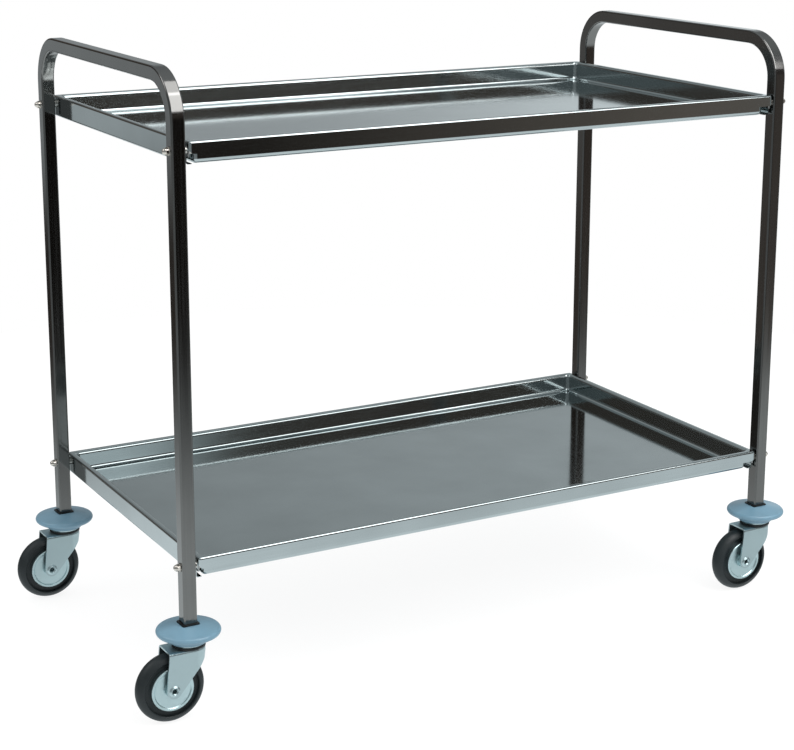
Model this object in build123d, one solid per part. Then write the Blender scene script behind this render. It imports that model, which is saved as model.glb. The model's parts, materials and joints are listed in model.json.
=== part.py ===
from build123d import *
import math
import os

# Serving cart: two pressed trays bolted between two bent square-tube end frames,
# on four swivel casters with round bumpers. Millimetres, +X along the cart,
# +Y to the back, +Z up. The origin lies on the floor, at the middle of the whole
# footprint with all four wheels trailing towards -X.

# Overall sizes
length_over_posts = 1010.0
width_over_posts = 526.0
frame_height = 895.0
lower_bolt_height = 220.0
handle_above_bolts = 105.0

# End frames
tube_side = 20.0
tube_corner = 2.5
tube_wall = 1.2
handle_bend_radius = 60.0

# Trays, each one pressed sheet: full skirts at the ends, short flanges on the long sides
tray_sheet = 1.0
tray_height = 31.0
tray_depth = 30.0
tray_side_flange = 16.5
tray_flange_corner = 10.0
tray_rim_width = 11.0
tray_corner = 5.0
tray_edge_roll = 3.0
tray_rim_roll = 5.0
tray_floor_roll = 5.0
tray_skirt_return = 8.0
tray_bolt_drop = 12.0

# Stiffening channels under the tray floors
channel_sheet = 1.2
channel_width = 60.0
channel_drop = 12.0
channel_flange = 14.0
channel_end_margin = 40.0

# Bolted tray corners
bolt_diameter = 6.0
bolt_clearance = 0.2
bolt_head_flats = 10.0
bolt_head_height = 4.0
corner_plate_width = 17.0
corner_plate_height = 18.0
corner_plate_thickness = 2.5
spacer_diameter = 12.0
spacer_length = 3.0
washer_diameter = 12.5
washer_thickness = 1.2
nut_flats = 10.0
nut_hex_height = 3.6
nut_dome_radius = 4.6
nut_roof = 1.6
nut_flange_roll = 0.5

# Post inserts that carry the casters
insert_fit = 0.2
insert_length = 36.0
insert_corner = 1.0
insert_collar_side = 25.0
insert_collar_height = 4.5
insert_collar_show = 1.5
insert_thread_depth = 30.0

# Bumper discs
bumper_radius = 45.0
bumper_rim_radius = 4.6
bumper_height = 18.4
bumper_collar_gap = 0.1
bumper_collar_drop = 6.0
bumper_collar_wall = 2.4
bumper_neck_radius = 30.0
bumper_neck_rise = 3.5
bumper_crown_fall = 5.9
bumper_top_radius = 17.0
bumper_socket_gap = 0.5

# Swivel heads
head_neck_radius = 22.0
head_radius = 24.5
head_height = 8.0
head_taper_height = 5.0
head_lip_inner = 18.5
head_lip_drop = 2.5
kingpin_diameter = 10.0
kingpin_fit = 0.06
kingpin_head_radius = 8.0
kingpin_head_height = 4.0
kingpin_head_gap = 0.3
ball_diameter = 5.0
ball_fit = 0.05
ball_pitch_radius = 12.5
ball_spacing = 0.1
dust_ring_outer = 23.5
dust_ring_inner = 17.5
dust_ring_gap = 0.3

# Wheels
wheel_diameter = 100.0
caster_trail = 30.0
tread_half_width = 12.5
tread_rise = 9.0
tyre_web_half_width = 7.0
tyre_bead_half_width = 10.4
tyre_bead_radius = 12.0
tyre_shoulder_roll = 1.2
disc_sheet = 1.2
disc_face_offset = 10.5
disc_lip_radius = 31.0
disc_lip_width = 3.2
disc_lip_rise = 1.6
disc_lip_slope = 1.5
disc_fit = 0.1
hub_radius = 9.5
hub_wall = 1.4
hub_flange_width = 2.2
hub_flange_thickness = 1.0
bush_end_gap = 0.3
thrust_washer_thickness = 1.0
thrust_washer_radius = 9.0
axle_diameter = 11.0
axle_bore_diameter = 6.4
axle_fit = 0.06
axle_head_radius = 8.2
axle_head_height = 1.8
axle_recess_radius = 4.8

# Forks, pressed from one plate
fork_plate = 2.5
fork_inner_half_width = 17.0
fork_outer_bend = 4.0
fork_inner_bend = 1.5
fork_nose_reach = 23.0
fork_nose_depth = 8.0
fork_crown_tail = 36.0
fork_leg_front = 22.0
fork_leg_knee = 17.0
fork_leg_knee_drop = 15.5
fork_axle_end_radius = 11.0
tyre_to_crown_gap = 3.5

# Spare length for cuts that run past a face
overrun = 1.0

# Places worked out from the sizes above
upper_bolt_height = frame_height - handle_above_bolts
wheel_radius = wheel_diameter / 2
post_x = (length_over_posts - tube_side) / 2
post_y = (width_over_posts - tube_side) / 2
cart_shift = (caster_trail + wheel_radius - bumper_radius) / 2
crown_underside = wheel_diameter + tyre_to_crown_gap
crown_top = crown_underside + fork_plate
head_underside = crown_top + ball_diameter + 2 * ball_fit
head_top = head_underside + head_height
head_lip_bottom = head_underside - head_lip_drop
bumper_top = head_top + bumper_height
post_foot = bumper_top + insert_collar_show
collar_bottom = post_foot - insert_collar_height
tray_half_length = post_x - tube_side / 2 - spacer_length
fork_outer_half_width = fork_inner_half_width + fork_plate
kingpin_top = post_foot + insert_thread_depth
shank_radius = bolt_diameter / 2
bolt_hole_radius = shank_radius + bolt_clearance
kingpin_radius = kingpin_diameter / 2
kingpin_hole_radius = kingpin_radius + kingpin_fit
axle_radius = axle_diameter / 2
bush_bore_radius = axle_radius + axle_fit
hub_half_length = fork_inner_half_width - thrust_washer_thickness - bush_end_gap
sides = {"left": -1, "right": 1}
rows = {"front": -1, "back": 1}
tray_tops = {
    "upper": upper_bolt_height + tray_bolt_drop,
    "lower": lower_bolt_height + tray_bolt_drop,
}


def rod_x(radius, start, end, y, z):
    """Solid rod along X between two places."""
    middle = (start + end) / 2
    return Pos(middle, y, z) * Rot(0, 90, 0) * Cylinder(radius, abs(end - start))


def hexagon_x(flats, start, end, y, z):
    """Hexagonal prism along X, with a flat on top."""
    sketch = RegularPolygon(flats / 2, 6, major_radius=False, rotation=30)
    prism = extrude(sketch, abs(end - start))
    return Pos(min(start, end), y, z) * Rot(0, 90, 0) * prism


def turned_z(points):
    """Solid of revolution about Z from radius and height pairs."""
    outline = Polyline(*[(radius, 0, height) for radius, height in points], close=True)
    return revolve(make_face(outline), Axis.Z)


def turned_y(points):
    """Solid of revolution about Y from radius and offset pairs."""
    outline = Polyline(*[(radius, offset, 0) for radius, offset in points], close=True)
    return revolve(make_face(outline), Axis.Y)


def ring_z(outer, inner, bottom, top):
    """Flat ring or sleeve about Z."""
    return turned_z([(inner, bottom), (outer, bottom), (outer, top), (inner, top)])


def ring_y(outer, inner, near, far):
    """Flat ring or sleeve about Y."""
    return turned_y([(inner, near), (outer, near), (outer, far), (inner, far)])


def save(name, solids):
    """Write one node, whose shifted solids stay separate."""
    moved = [Pos(cart_shift, 0, 0) * solid for solid in solids]
    shape = moved[0] if len(moved) == 1 else Compound(moved)
    export_step(shape, "parts/" + name + ".step")


def end_frame(side):
    """Bent square tube: two posts and the handle between them."""
    x = side * post_x
    handle_z = frame_height - tube_side / 2
    corners = [
        (x, -post_y, post_foot),
        (x, -post_y, handle_z),
        (x, post_y, handle_z),
        (x, post_y, post_foot),
    ]
    path = FilletPolyline(*corners, radius=handle_bend_radius)
    bore_side = tube_side - 2 * tube_wall
    bore_corner = max(tube_corner - tube_wall, tube_wall / 2)
    section = RectangleRounded(tube_side, tube_side, tube_corner)
    section -= RectangleRounded(bore_side, bore_side, bore_corner)
    frame = sweep(Pos(x, -post_y, post_foot) * section, path=path)
    reach = tube_side / 2 + overrun
    for row in rows.values():
        for height in (lower_bolt_height, upper_bolt_height):
            frame -= rod_x(bolt_hole_radius, x - reach, x + reach, row * post_y, height)
    return frame


def rounded_block(length, width, corner, bottom, top, edge_roll, rounded_top=True):
    """Block with rounded upright corners and rounded flat edges."""
    block = Pos(0, 0, bottom) * extrude(RectangleRounded(length, width, corner), top - bottom)
    levels = block.faces().sort_by(Axis.Z)
    edges = levels[0].edges()
    if rounded_top:
        edges = edges + levels[-1].edges()
    return fillet(edges, edge_roll)


def tray(top):
    """Pan with a rolled rim, skirts turned in under both ends and flanges along the sides."""
    length = 2 * tray_half_length
    width = width_over_posts
    bottom = top - tray_height
    floor = top - tray_depth
    skin = 2 * tray_sheet
    body = rounded_block(length, width, tray_corner, bottom, top, tray_edge_roll)
    body -= rounded_block(
        length - skin,
        width - skin,
        tray_corner - tray_sheet,
        bottom + tray_sheet,
        top - tray_sheet,
        tray_edge_roll - tray_sheet,
    )
    open_length = length - 2 * tray_skirt_return
    open_width = width - 2 * tray_skirt_return
    opening = extrude(Rectangle(open_length, open_width), tray_sheet + 2 * overrun)
    body -= Pos(0, 0, bottom - overrun) * opening
    flange_bottom = top - tray_side_flange
    window_reach = tray_skirt_return + overrun
    window = Box(length + skin, window_reach + overrun, flange_bottom - bottom + overrun)
    flange = Pos(0, flange_bottom + tray_height) * RectangleRounded(
        length, 2 * tray_height, tray_flange_corner
    )
    ends = Pos(0, flange_bottom) * Rectangle(length + skin, 2 * tray_flange_corner) - flange
    for row in rows.values():
        window_y = row * (width / 2 - (window_reach - overrun) / 2)
        body -= Pos(0, window_y, (bottom - overrun + flange_bottom) / 2) * window
        edge_y = row * (width / 2 - tray_corner)
        body -= extrude(Plane.XZ.offset(-edge_y) * ends, tray_corner + overrun, dir=(0, row, 0))
    pan_length = length - 2 * tray_rim_width
    pan_width = width - 2 * tray_rim_width
    pan_corner = tray_floor_roll + tray_sheet
    body += rounded_block(
        pan_length + skin,
        pan_width + skin,
        pan_corner + tray_sheet,
        floor - tray_sheet,
        top - tray_sheet / 2,
        tray_floor_roll + tray_sheet,
        rounded_top=False,
    )
    under_rim = body.faces().filter_by_position(Axis.Z, top - skin, top - tray_sheet / 2)
    under_rim = under_rim.filter_by(Axis.Z).sort_by(SortBy.AREA)[-1]
    body = fillet(under_rim.inner_wires()[0].edges(), tray_rim_roll - tray_sheet)
    body -= rounded_block(
        pan_length, pan_width, pan_corner, floor, top + overrun, tray_floor_roll, rounded_top=False
    )
    rim = body.faces().filter_by(Axis.Z).sort_by(Axis.Z)[-1]
    body = fillet(rim.inner_wires()[0].edges(), tray_rim_roll)
    for side in sides.values():
        for row in rows.values():
            inside = side * (tray_half_length - tray_sheet - overrun)
            outside = side * (tray_half_length + overrun)
            body -= rod_x(bolt_hole_radius, inside, outside, row * post_y, top - tray_bolt_drop)
    return body


def floor_channel(top):
    """Upturned channel along the middle of a tray floor, flanges flat against it."""
    ceiling = top - tray_depth - tray_sheet
    length = 2 * (tray_half_length - tray_rim_width - channel_end_margin)
    outer_y = channel_width / 2
    inner_y = outer_y - channel_sheet
    lip_y = outer_y + channel_flange
    points = [
        (-lip_y, 0),
        (-inner_y, 0),
        (-inner_y, channel_sheet - channel_drop),
        (inner_y, channel_sheet - channel_drop),
        (inner_y, 0),
        (lip_y, 0),
        (lip_y, -channel_sheet),
        (outer_y, -channel_sheet),
        (outer_y, -channel_drop),
        (-outer_y, -channel_drop),
        (-outer_y, -channel_sheet),
        (-lip_y, -channel_sheet),
    ]
    outline = Polyline(*[(-length / 2, y, ceiling + z) for y, z in points], close=True)
    return extrude(make_face(outline), length, dir=(1, 0, 0))


def tray_joints():
    """Places of the bolted corners: side, row and height of each bolt."""
    heights = (lower_bolt_height, upper_bolt_height)
    return [(side, row, z) for z in heights for side in sides.values() for row in rows.values()]


def corner_plate(side, row, z):
    """Thickening plate inside the skirt, behind the bolt head."""
    outer = tray_half_length - tray_sheet
    edge_y = width_over_posts / 2 - tray_corner
    plate = Box(corner_plate_thickness, corner_plate_width, corner_plate_height)
    x = side * (outer - corner_plate_thickness / 2)
    y = row * (edge_y - corner_plate_width / 2)
    plate = Pos(x, y, z) * plate
    start = side * (outer - corner_plate_thickness - overrun)
    end = side * (outer + overrun)
    return plate - rod_x(bolt_hole_radius, start, end, row * post_y, z)


def nut_seat():
    """Distance from the middle of the cart to the seat of each domed nut."""
    return post_x + tube_side / 2 + washer_thickness


def tray_bolt(side, row, z):
    """Hexagon bolt from inside the skirt, out through the post."""
    seat = tray_half_length - tray_sheet - corner_plate_thickness
    y = row * post_y
    end = nut_seat() + nut_hex_height
    head = hexagon_x(bolt_head_flats, side * (seat - bolt_head_height), side * seat, y, z)
    return head + rod_x(shank_radius, side * (seat - bolt_head_height / 2), side * end, y, z)


def tray_spacer(side, row, z):
    """Round stand-off between the tray skirt and the post."""
    start = side * tray_half_length
    end = side * (tray_half_length + spacer_length)
    y = row * post_y
    bore = rod_x(bolt_hole_radius, start - side * overrun, end + side * overrun, y, z)
    return rod_x(spacer_diameter / 2, start, end, y, z) - bore


def outer_washer(side, row, z):
    """Flat washer on the outer face of the post."""
    end = side * nut_seat()
    start = end - side * washer_thickness
    y = row * post_y
    bore = rod_x(bolt_hole_radius, start - side * overrun, end + side * overrun, y, z)
    return rod_x(washer_diameter / 2, start, end, y, z) - bore


def domed_nut(side, row, z):
    """Hexagon cap nut with a round dome over the bolt end."""
    hexagon = extrude(RegularPolygon(nut_flats / 2, 6, major_radius=False), nut_hex_height)
    chamfer_radius = nut_flats / 2 + nut_flange_roll
    nut = hexagon & ring_z(chamfer_radius, 0, -overrun, nut_hex_height + overrun)
    dome = Pos(0, 0, nut_hex_height) * Sphere(nut_dome_radius)
    dome_top = nut_hex_height + nut_dome_radius
    nut += dome & ring_z(nut_flats, 0, nut_hex_height / 2, dome_top + overrun)
    nut -= ring_z(shank_radius, 0, -overrun, dome_top - nut_roof)
    return Pos(side * nut_seat(), row * post_y, z) * Rot(0, side * 90, 0) * nut


def post_insert():
    """Plug in the foot of a post, with a square collar under the tube end."""
    plug_side = tube_side - 2 * tube_wall - insert_fit
    plug = extrude(RectangleRounded(plug_side, plug_side, insert_corner), insert_length)
    collar = extrude(
        RectangleRounded(insert_collar_side, insert_collar_side, tube_corner), insert_collar_height
    )
    insert = Pos(0, 0, post_foot) * plug + Pos(0, 0, collar_bottom) * collar
    return insert - ring_z(kingpin_hole_radius, 0, collar_bottom - overrun, kingpin_top + overrun)


def bumper():
    """Round soft disc with a rounded rim, a collar over the head and a square socket on top."""
    rim_low = bumper_top - bumper_crown_fall - 2 * bumper_rim_radius
    collar_inner = head_radius + bumper_collar_gap
    collar_low = head_top - bumper_collar_drop
    points = [
        (0, head_top),
        (collar_inner, head_top),
        (collar_inner, collar_low),
        (collar_inner + bumper_collar_wall, collar_low),
        (bumper_neck_radius, head_top + bumper_neck_rise),
        (bumper_radius - bumper_rim_radius, rim_low),
    ]
    lower = Polyline(*[(radius, 0, z) for radius, z in points])
    rim = ThreePointArc(
        (bumper_radius - bumper_rim_radius, 0, rim_low),
        (bumper_radius, 0, rim_low + bumper_rim_radius),
        (bumper_radius - bumper_rim_radius, 0, rim_low + 2 * bumper_rim_radius),
    )
    upper = Polyline(
        (bumper_radius - bumper_rim_radius, 0, bumper_top - bumper_crown_fall),
        (bumper_top_radius, 0, bumper_top),
        (0, 0, bumper_top),
        (0, 0, head_top),
    )
    disc = revolve(make_face(Curve() + [lower, rim, upper]), Axis.Z)
    socket_side = insert_collar_side + 2 * bumper_socket_gap
    socket = extrude(RectangleRounded(socket_side, socket_side, tube_corner), bumper_height)
    disc -= Pos(0, 0, collar_bottom) * socket
    return disc - ring_z(kingpin_hole_radius, 0, head_top - overrun, bumper_top)


def swivel_head():
    """Pressed upper race of the swivel, flared towards the bumper, with a lip round the balls."""
    return turned_z([
        (kingpin_hole_radius, head_underside),
        (head_lip_inner, head_underside),
        (head_lip_inner, head_lip_bottom),
        (head_neck_radius, head_lip_bottom),
        (head_radius, head_underside + head_taper_height),
        (head_radius, head_top),
        (kingpin_hole_radius, head_top),
    ])


def dust_ring():
    """Dark ring that closes the ball race under the lip of the swivel head."""
    return ring_z(dust_ring_outer, dust_ring_inner, crown_top + dust_ring_gap, head_lip_bottom)


def kingpin():
    """Swivel bolt from under the crown up into the post insert."""
    head_seat = crown_underside - kingpin_head_gap
    head_bottom = head_seat - kingpin_head_height
    return turned_z([
        (0, head_bottom),
        (kingpin_head_radius, head_bottom),
        (kingpin_head_radius, head_seat),
        (kingpin_radius, head_seat),
        (kingpin_radius, kingpin_top),
        (0, kingpin_top),
    ])


def race_balls():
    """Balls of one swivel race, as many as the pitch circle takes."""
    count = int(2 * math.pi * ball_pitch_radius / (ball_diameter + ball_spacing))
    z = crown_top + ball_fit + ball_diameter / 2
    turns = [2 * math.pi * index / count for index in range(count)]
    return [
        Pos(ball_pitch_radius * math.cos(turn), ball_pitch_radius * math.sin(turn), z)
        * Sphere(ball_diameter / 2)
        for turn in turns
    ]


def fork():
    """Pressed fork: crown with a round turned-down nose, two tapered legs and the axle holes."""
    low = wheel_radius - fork_axle_end_radius - overrun
    back = caster_trail + fork_axle_end_radius + overrun
    nose_middle = fork_nose_reach - fork_outer_half_width

    def hood(half_width, top, bend, reach):
        outline = Pos(nose_middle, 0) * Circle(half_width)
        outline += Pos((nose_middle - reach) / 2, 0) * Rectangle(nose_middle + reach, 2 * half_width)
        block = Pos(0, 0, low) * extrude(outline, top - low)
        return fillet(block.faces().sort_by(Axis.Z)[-1].edges(), bend)

    shell = hood(fork_outer_half_width, crown_top, fork_outer_bend, back + fork_outer_bend)
    shell -= hood(fork_inner_half_width, crown_underside, fork_inner_bend, back + 2 * fork_outer_bend)
    corners = [
        (-fork_crown_tail, crown_underside),
        (fork_leg_front, crown_underside),
        (fork_leg_knee, crown_underside - fork_leg_knee_drop),
        (-fork_crown_tail, crown_underside),
    ]
    end = Pos(-caster_trail, wheel_radius) * Circle(fork_axle_end_radius)
    leg = make_hull(end.edges() + Polyline(*corners).edges())
    crown_length = fork_crown_tail + fork_nose_reach + overrun
    crown_height = fork_nose_depth + overrun
    crown_middle = (fork_nose_reach + overrun - fork_crown_tail) / 2
    crown = Pos(crown_middle, crown_top + overrun - crown_height / 2) * Rectangle(
        crown_length, crown_height
    )
    profile = Plane.XZ * (leg + crown)
    shape = shell & extrude(profile, fork_outer_half_width + overrun, both=True)
    shape -= ring_z(kingpin_hole_radius, 0, crown_underside - overrun, crown_top + overrun)
    reach = fork_outer_half_width + overrun
    axle_hole = ring_y(bush_bore_radius, 0, -reach, reach)
    return shape - Pos(-caster_trail, 0, wheel_radius) * axle_hole


def at_axle(shape):
    """Move a piece turned about the Y axis to the wheel's axle."""
    return Pos(-caster_trail, 0, wheel_radius) * shape


def axle_rivet():
    """Tubular axle, flared over both legs, with a countersunk mouth at each end."""
    seat = fork_outer_half_width
    end = seat + axle_head_height
    bore = axle_bore_diameter / 2
    half = [
        (axle_radius, 0),
        (axle_radius, seat),
        (axle_head_radius, seat),
        (axle_recess_radius + axle_head_height / 2, end),
        (axle_recess_radius, end),
        (bore, end - axle_head_height),
        (bore, 0),
    ]
    far_side = turned_y(half)
    return at_axle(far_side + far_side.mirror(Plane.XZ))


def thrust_washers():
    """Washers between the hub and the fork legs."""
    inner = fork_inner_half_width - thrust_washer_thickness
    far = ring_y(thrust_washer_radius, bush_bore_radius, inner, fork_inner_half_width)
    return [at_axle(far), at_axle(far.mirror(Plane.XZ))]


def tyre():
    """Solid rubber tyre with a round tread, a sunken side and a bead under the discs."""
    shoulder = wheel_radius - tread_rise
    bead_edge = disc_lip_radius - disc_sheet - disc_fit
    side_start = disc_lip_radius + disc_fit
    side = [
        (tyre_bead_radius, tyre_bead_half_width),
        (bead_edge, tyre_bead_half_width),
        (bead_edge, tyre_web_half_width),
        (side_start, tyre_web_half_width),
        (shoulder - tyre_shoulder_roll, tyre_web_half_width),
        (shoulder - tyre_shoulder_roll, tread_half_width - tyre_shoulder_roll),
        (shoulder, tread_half_width),
    ]
    far = Polyline(*side)
    near = Polyline(*[(radius, -offset) for radius, offset in side])
    tread = ThreePointArc(
        (shoulder, tread_half_width), (wheel_radius, 0), (shoulder, -tread_half_width)
    )
    bore = Line((tyre_bead_radius, tyre_bead_half_width), (tyre_bead_radius, -tyre_bead_half_width))
    section = make_face(Curve() + [far, tread, near, bore])
    return at_axle(revolve(section, Axis.Y))


def wheel_discs():
    """Pressed side discs with a raised rolled lip that grips the tyre bead."""
    face = disc_face_offset + disc_sheet
    lip_inner = disc_lip_radius - disc_lip_width
    slope_start = lip_inner - disc_lip_slope
    bead_edge = disc_lip_radius - disc_sheet
    lip_end = tyre_web_half_width + disc_fit
    far = turned_y([
        (hub_radius, disc_face_offset),
        (slope_start, disc_face_offset),
        (lip_inner, disc_face_offset + disc_lip_rise),
        (bead_edge, disc_face_offset + disc_lip_rise),
        (bead_edge, lip_end),
        (disc_lip_radius, lip_end),
        (disc_lip_radius, face + disc_lip_rise - disc_sheet / 2),
        (disc_lip_radius - disc_sheet / 2, face + disc_lip_rise),
        (lip_inner, face + disc_lip_rise),
        (slope_start, face),
        (hub_radius, face),
    ])
    return [at_axle(far), at_axle(far.mirror(Plane.XZ))]


def hub_tube():
    """Steel tube that carries the discs, with a collar outside each of them."""
    collar_start = disc_face_offset + disc_sheet
    collar_end = collar_start + hub_flange_thickness
    collar_radius = hub_radius + hub_flange_width
    inner = hub_radius - hub_wall
    tube = ring_y(hub_radius, inner, -hub_half_length, hub_half_length)
    tube += ring_y(collar_radius, inner, collar_start, collar_end)
    tube += ring_y(collar_radius, inner, -collar_end, -collar_start)
    return at_axle(tube)


def hub_bush():
    """Plain bearing bush that turns on the axle."""
    outer = hub_radius - hub_wall
    return at_axle(ring_y(outer, bush_bore_radius, -hub_half_length, hub_half_length))


def main():
    os.makedirs("parts", exist_ok=True)
    for side_name, side in sides.items():
        save(side_name + "_end_frame", [end_frame(side)])
    for level, top in tray_tops.items():
        save(level + "_tray", [tray(top)])
        save(level + "_tray_channel", [floor_channel(top)])
    joints = tray_joints()
    save("corner_plates", [corner_plate(*joint) for joint in joints])
    save("tray_bolts", [tray_bolt(*joint) for joint in joints])
    save("tray_spacers", [tray_spacer(*joint) for joint in joints])
    save("outer_washers", [outer_washer(*joint) for joint in joints])
    save("domed_nuts", [domed_nut(*joint) for joint in joints])
    caster_pieces = {
        "post_insert": [post_insert()],
        "bumper": [bumper()],
        "swivel_head": [swivel_head()],
        "dust_ring": [dust_ring()],
        "fork": [fork()],
        "axle_rivet": [axle_rivet()],
        "thrust_washers": thrust_washers(),
        "tyre": [tyre()],
        "wheel_discs": wheel_discs(),
        "hub_tube": [hub_tube()],
        "hub_bush": [hub_bush()],
    }
    kingpin_shape = kingpin()
    ball_shapes = race_balls()
    kingpins = []
    balls = []
    for row_name, row in rows.items():
        for side_name, side in sides.items():
            place = Pos(side * post_x, row * post_y, 0)
            for piece, solids in caster_pieces.items():
                name = row_name + "_" + side_name + "_" + piece
                save(name, [place * solid for solid in solids])
            kingpins.append(place * kingpin_shape)
            balls.extend(place * ball for ball in ball_shapes)
    save("kingpins", kingpins)
    save("swivel_balls", balls)


main()
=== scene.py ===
import json
import math

import bpy
from mathutils import Euler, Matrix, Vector

# Stainless serving cart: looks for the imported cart, in metres
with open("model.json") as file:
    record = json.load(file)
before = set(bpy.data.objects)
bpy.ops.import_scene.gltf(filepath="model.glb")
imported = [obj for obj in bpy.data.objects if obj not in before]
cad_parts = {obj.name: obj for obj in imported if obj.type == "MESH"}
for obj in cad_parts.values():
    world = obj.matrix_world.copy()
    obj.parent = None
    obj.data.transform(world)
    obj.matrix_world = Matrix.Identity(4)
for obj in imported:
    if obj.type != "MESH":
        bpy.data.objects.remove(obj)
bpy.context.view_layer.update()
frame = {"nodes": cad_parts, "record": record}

# Camera, as the photograph shows the cart
image_width = 794
sensor_width = 36.0
focal_pixels = 1885.0
camera_shift_y = -0.1
camera_place = Vector((-1.3975, -2.492, 1.177))
camera_yaw = math.radians(29.1)
camera_pitch = math.radians(13.53)
camera_roll = math.radians(0.1)

# Floor: its clouds are in waves to the metre, and its depth is the share by which they darken it
floor_radius = 1.9
floor_corners = 128
floor_color = (0.16, 0.16, 0.16, 1.0)
floor_glow = 0.86
floor_clouds = (9.0, 9.0, 9.0)
floor_depth = 0.01
floor_roughness = 0.9
floor_specular = 0.1

# White backdrop for the eye, and its strength as a fill light
white = (1.0, 1.0, 1.0, 1.0)
backdrop_strength = 1.0
fill_strength = 1.1

# The room that the metal mirrors. Its light changes with the turn round the cart, from 0 at the
# front over 0.25 at the left and 0.5 at the back to 1, and with the height, from -1 straight down
# over 0 at the horizon to 1 straight up.
ground_light = 1.0
belt_light = [
    (0.0, 0.3), (0.36, 0.3), (0.39, 0.12), (0.455, 0.03), (0.50, 0.3),
    (0.86, 0.3), (0.89, 0.14), (0.93, 0.02), (0.955, 0.01), (1.0, 0.3),
]
wall_light = [
    (0.0, 0.3), (0.25, 0.3), (0.40, 0.06), (0.49, 0.12), (0.545, 0.33), (0.60, 0.5),
    (0.62, 0.6), (0.86, 0.25), (0.89, 0.07), (0.955, 0.07), (1.0, 0.3),
]
ceiling_light = [(0.0, 0.3), (1.0, 0.3)]
zenith_light = [(0.0, 0.6), (1.0, 0.6)]

# Each layer starts to show at one height and is alone at the next
layers = [
    (-0.38, -0.25, belt_light),
    (0.02, 0.12, wall_light),
    (0.33, 0.45, ceiling_light),
    (0.45, 1.0, zenith_light),
]

# Soft windows: middle turn and height, core and edge of their half width, the same of their half
# height, and light
windows = [
    (0.46, -0.11, (0.01, 0.09), (0.03, 0.10), 0.5),
    (0.63, 0.12, (0.0, 0.06), (0.05, 0.12), 1.05),
    (0.965, 0.35, (0.021, 0.033), (0.06, 0.09), 1.3),
    (0.88, -0.30, (0.01, 0.05), (0.02, 0.05), 0.9),
]
cool_tint = (0.92, 1.0, 1.03)
warm_tint = (1.15, 0.97, 0.84)
warm_level = 0.2

# Softboxes: place, the point that each faces, width and length, power
softboxes = {
    "front_box": ((0.95, -1.75, 2.25), (0.95, 0.0, 1.6), (2.3, 1.7), 42.0),
    "top_box": ((0.4, -0.9, 3.0), (0.2, -0.1, 0.8), (2.2, 1.4), 24.0),
    "fill_box": ((-2.4, 0.6, 2.4), (0.0, 0.0, 0.6), (1.0, 1.4), 12.0),
}

# Colours of the materials
tube_color = (0.195, 0.192, 0.186, 1.0)
tray_color = (0.48, 0.525, 0.53, 1.0)
channel_color = (0.46, 0.47, 0.47, 1.0)
fastener_color = (0.50, 0.48, 0.45, 1.0)
nut_color = (0.72, 0.66, 0.60, 1.0)
zinc_color = (0.53, 0.65, 0.67, 1.0)
disc_color = (0.62, 0.77, 0.79, 1.0)
ball_color = (0.70, 0.70, 0.70, 1.0)
bumper_color = (0.14, 0.255, 0.335, 1.0)
nylon_color = (0.006, 0.006, 0.007, 1.0)
rubber_color = (0.008, 0.014, 0.016, 1.0)

# Grain, in waves to the metre: drawn tubes run up, drawn sheet runs along the cart
drawn_waves = 6.0
cross_waves = 900.0
upright_grain = (cross_waves, cross_waves, drawn_waves)
lengthwise_grain = (drawn_waves, cross_waves, cross_waves)
even_grain = (360.0, 360.0, 360.0)
plastic_grain = (1400.0, 1400.0, 1400.0)
rubber_grain = (900.0, 900.0, 900.0)
steel_clouds = (9.0, 9.0, 9.0)
plastic_clouds = (36.0, 36.0, 36.0)

# Noise lies mostly between these two values
noise_low = 0.3
noise_high = 0.7
noise_detail = 3.0

# Height of the relief, in metres, and the share by which a cloud darkens steel
steel_relief = 0.0001
plastic_relief = 0.0002
steel_depth = 0.12

# Metals: colour, least and most roughness, grain, strength of the relief
metals = {
    "frame_steel": (tube_color, 0.08, 0.16, upright_grain, 0.04),
    "tray_steel": (tray_color, 0.06, 0.11, lengthwise_grain, 0.01),
    "channel_steel": (channel_color, 0.3, 0.42, lengthwise_grain, 0.1),
    "fastener_steel": (fastener_color, 0.2, 0.3, even_grain, 0.1),
    "nut_steel": (nut_color, 0.08, 0.16, even_grain, 0.05),
    "zinc_plate": (zinc_color, 0.3, 0.42, even_grain, 0.15),
    "wheel_zinc": (disc_color, 0.28, 0.4, even_grain, 0.15),
    "ball_steel": (ball_color, 0.05, 0.1, even_grain, 0.02),
}

# Plastic and rubber: the same, and the share by which a cloud darkens them
moulded_parts = {
    "bumper_plastic": (bumper_color, 0.28, 0.34, plastic_grain, 0.08, 0.1),
    "black_nylon": (nylon_color, 0.35, 0.5, plastic_grain, 0.1, 0.2),
    "tyre_rubber": (rubber_color, 0.42, 0.6, rubber_grain, 0.3, 0.35),
}


def new_material(name):
    """Empty node material with a Principled shader and object coordinates."""
    material = bpy.data.materials.new(name)
    material.use_nodes = True
    nodes = material.node_tree.nodes
    coordinates = nodes.new("ShaderNodeTexCoord")
    return material, nodes, material.node_tree.links, nodes["Principled BSDF"], coordinates


def noise(nodes, links, coordinates, scales):
    """Noise stretched by a scale for each axis."""
    mapping = nodes.new("ShaderNodeMapping")
    mapping.inputs["Scale"].default_value = scales
    links.new(coordinates.outputs["Object"], mapping.inputs["Vector"])
    texture = nodes.new("ShaderNodeTexNoise")
    texture.inputs["Scale"].default_value = 1.0
    texture.inputs["Detail"].default_value = noise_detail
    links.new(mapping.outputs["Vector"], texture.inputs["Vector"])
    return texture.outputs["Fac"]


def spread(nodes, links, value, low, high):
    """Noise value mapped from its usual span to a chosen one."""
    span = nodes.new("ShaderNodeMapRange")
    span.inputs["From Min"].default_value = noise_low
    span.inputs["From Max"].default_value = noise_high
    span.inputs["To Min"].default_value = low
    span.inputs["To Max"].default_value = high
    links.new(value, span.inputs["Value"])
    return span.outputs["Result"]


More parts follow.
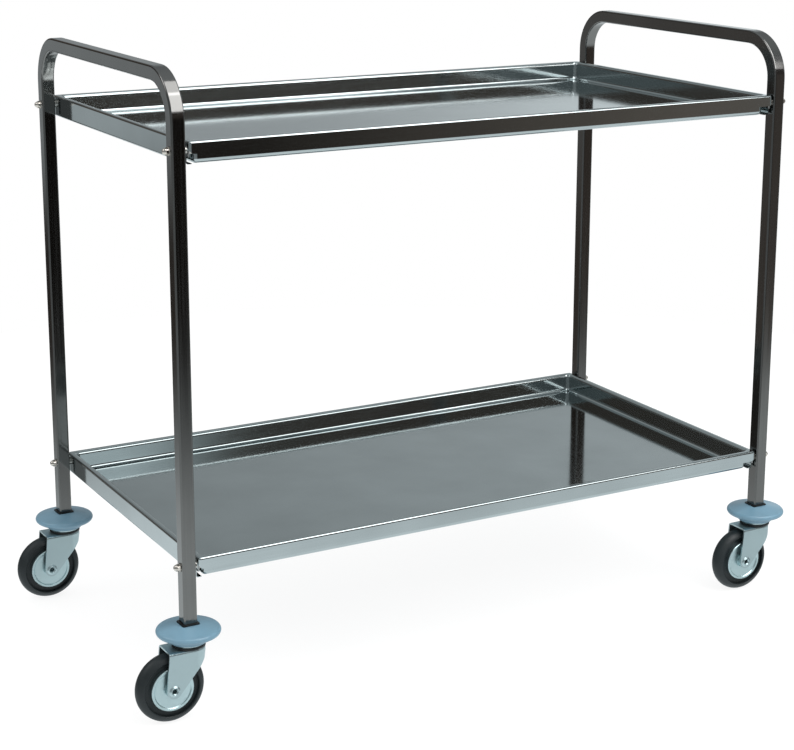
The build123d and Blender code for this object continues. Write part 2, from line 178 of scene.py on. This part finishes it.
def color_mix(nodes, links, factor, low, high):
    """Blend of two colours, each of which is a value or a socket."""
    mix = nodes.new("ShaderNodeMix")
    mix.data_type = "RGBA"
    links.new(factor, mix.inputs["Factor"])
    for socket, color in ((mix.inputs["A"], low), (mix.inputs["B"], high)):
        if isinstance(color, tuple):
            socket.default_value = color
        else:
            links.new(color, socket)
    return mix.outputs["Result"]


def clouded(nodes, links, clouds, color, depth):
    """Colour that darkens by a share where the cloud noise is low."""
    dark = tuple(channel * (1.0 - depth) for channel in color[:3]) + (1.0,)
    return color_mix(nodes, links, spread(nodes, links, clouds, 0.0, 1.0), dark, color)


def bumped(nodes, links, shader, value, strength, distance):
    """Fine relief from a noise value."""
    bump = nodes.new("ShaderNodeBump")
    bump.inputs["Strength"].default_value = strength
    bump.inputs["Distance"].default_value = distance
    links.new(value, bump.inputs["Height"])
    links.new(bump.outputs["Normal"], shader.inputs["Normal"])


def metal(name, color, low_rough, high_rough, grain, relief):
    """Metal with drawn grain, soft clouds in its colour and uneven polish."""
    material, nodes, links, shader, coordinates = new_material(name)
    shader.inputs["Metallic"].default_value = 1.0
    streaks = noise(nodes, links, coordinates, grain)
    clouds = noise(nodes, links, coordinates, steel_clouds)
    links.new(clouded(nodes, links, clouds, color, steel_depth), shader.inputs["Base Color"])
    links.new(spread(nodes, links, streaks, low_rough, high_rough), shader.inputs["Roughness"])
    bumped(nodes, links, shader, streaks, relief, steel_relief)
    return material


def moulded(name, color, low_rough, high_rough, grain, relief, depth):
    """Plastic or rubber with a fine skin and slightly uneven colour."""
    material, nodes, links, shader, coordinates = new_material(name)
    skin = noise(nodes, links, coordinates, grain)
    clouds = noise(nodes, links, coordinates, plastic_clouds)
    links.new(clouded(nodes, links, clouds, color, depth), shader.inputs["Base Color"])
    links.new(spread(nodes, links, clouds, low_rough, high_rough), shader.inputs["Roughness"])
    bumped(nodes, links, shader, skin, relief, plastic_relief)
    return material


def make_materials():
    """One material for each material slot of the record."""
    materials = {name: metal(name, *finish) for name, finish in metals.items()}
    materials.update({name: moulded(name, *finish) for name, finish in moulded_parts.items()})
    return materials


def dress_nodes(materials):
    """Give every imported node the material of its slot."""
    for entry in frame["record"]["subparts"]:
        node = frame["nodes"][entry["node"]]
        material = materials[entry["material_slot"]]
        if not node.material_slots:
            node.data.materials.append(material)
        for slot in node.material_slots:
            slot.material = material


def make_floor():
    """Round pale floor under the cart. The metal mirrors the room's ground instead."""
    bpy.ops.mesh.primitive_circle_add(vertices=floor_corners, radius=floor_radius, fill_type="NGON")
    floor = bpy.context.object
    floor.name = "floor"
    material, nodes, links, shader, coordinates = new_material("floor")
    clouds = noise(nodes, links, coordinates, floor_clouds)
    links.new(clouded(nodes, links, clouds, floor_color, floor_depth), shader.inputs["Base Color"])
    shader.inputs["Roughness"].default_value = floor_roughness
    shader.inputs["Specular IOR Level"].default_value = floor_specular
    shader.inputs["Emission Color"].default_value = white
    shader.inputs["Emission Strength"].default_value = floor_glow
    floor.data.materials.append(material)
    floor.visible_glossy = False


def math_node(nodes, links, operation, *values):
    """Arithmetic on numbers and sockets."""
    node = nodes.new("ShaderNodeMath")
    node.operation = operation
    for socket, value in zip(node.inputs, values):
        if isinstance(value, (int, float)):
            socket.default_value = value
        else:
            links.new(value, socket)
    return node.outputs[0]


def room_color(level):
    """Colour of a light level: the dark ones a little warm and the light ones a little cool."""
    tints = warm_tint if level < warm_level else cool_tint
    return tuple(level * tint for tint in tints) + (1.0,)


def light_ramp(nodes, links, turn, stops):
    """Light of the room by the turn."""
    ramp = nodes.new("ShaderNodeValToRGB")
    elements = ramp.color_ramp.elements
    while len(elements) < len(stops):
        elements.new(1.0)
    for element, (place, level) in zip(elements, stops):
        element.position = place
        element.color = room_color(level)
    links.new(turn, ramp.inputs["Fac"])
    return ramp.outputs["Color"]


def smooth_step(nodes, links, value, start, end):
    """Smooth climb from 0 to 1 between two values."""
    step = nodes.new("ShaderNodeMapRange")
    step.interpolation_type = "SMOOTHSTEP"
    step.inputs["From Min"].default_value = start
    step.inputs["From Max"].default_value = end
    links.new(value, step.inputs["Value"])
    return step.outputs["Result"]


def window_shape(nodes, links, value, middle, core, edge):
    """1 near a middle value and 0 past the window's edge."""
    distance = math_node(nodes, links, "ABSOLUTE", math_node(nodes, links, "SUBTRACT", value, middle))
    fall = smooth_step(nodes, links, distance, core, edge)
    return math_node(nodes, links, "SUBTRACT", 1.0, fall)


def make_room(nodes, links):
    """Light of the mirrored room: the layers, and the soft windows over them.

    Angles from the back run from -pi to pi, and become turns from 0 to 1.
    """
    coordinates = nodes.new("ShaderNodeTexCoord")
    split = nodes.new("ShaderNodeSeparateXYZ")
    links.new(coordinates.outputs["Generated"], split.inputs["Vector"])
    height = split.outputs["Z"]
    angle = math_node(nodes, links, "ARCTAN2", split.outputs["X"], split.outputs["Y"])
    turn = math_node(nodes, links, "MULTIPLY_ADD", angle, 0.5 / math.pi, 0.5)
    room = room_color(ground_light)
    for start, end, stops in layers:
        climb = smooth_step(nodes, links, height, start, end)
        room = color_mix(nodes, links, climb, room, light_ramp(nodes, links, turn, stops))
    for middle_turn, middle_height, half_width, half_height, level in windows:
        across = window_shape(nodes, links, turn, middle_turn, *half_width)
        upright = window_shape(nodes, links, height, middle_height, *half_height)
        shape = math_node(nodes, links, "MULTIPLY", across, upright)
        room = color_mix(nodes, links, shape, room, room_color(level))
    return room


def make_world():
    """White studio for the eye and the fill light, and a darker room for reflections."""
    world = bpy.data.worlds.new("studio")
    bpy.context.scene.world = world
    world.use_nodes = True
    nodes = world.node_tree.nodes
    links = world.node_tree.links
    background = nodes["Background"]
    path = nodes.new("ShaderNodeLightPath")
    view = color_mix(nodes, links, path.outputs["Is Glossy Ray"], white, make_room(nodes, links))
    links.new(view, background.inputs["Color"])
    extra = fill_strength - backdrop_strength
    fill = math_node(nodes, links, "MULTIPLY_ADD", path.outputs["Is Diffuse Ray"], extra, backdrop_strength)
    links.new(fill, background.inputs["Strength"])


def area_light(name, place, target, size, power):
    """Softbox that faces a point."""
    data = bpy.data.lights.new(name, "AREA")
    data.shape = "RECTANGLE"
    data.size, data.size_y = size
    data.energy = power
    light = bpy.data.objects.new(name, data)
    light.location = place
    light.rotation_euler = (Vector(target) - Vector(place)).to_track_quat("-Z", "Y").to_euler()
    light.visible_camera = False
    bpy.context.collection.objects.link(light)


def make_lights():
    """Soft studio boxes round the cart."""
    for name, (place, target, size, power) in softboxes.items():
        area_light(name, place, target, size, power)


def make_camera():
    """Camera at the photograph's angle."""
    data = bpy.data.cameras.new("camera")
    data.sensor_fit = "HORIZONTAL"
    data.sensor_width = sensor_width
    data.lens = focal_pixels / image_width * sensor_width
    data.shift_y = camera_shift_y
    camera = bpy.data.objects.new("camera", data)
    camera.location = camera_place
    turn = Euler((math.pi / 2 - camera_pitch, 0, -camera_yaw), "XYZ").to_quaternion()
    roll = Euler((0, 0, camera_roll), "XYZ").to_quaternion()
    camera.rotation_euler = (turn @ roll).to_euler()
    bpy.context.collection.objects.link(camera)
    bpy.context.scene.camera = camera


dress_nodes(make_materials())
make_floor()
make_world()
make_lights()
make_camera()
bpy.context.scene.view_settings.view_transform = "Standard"
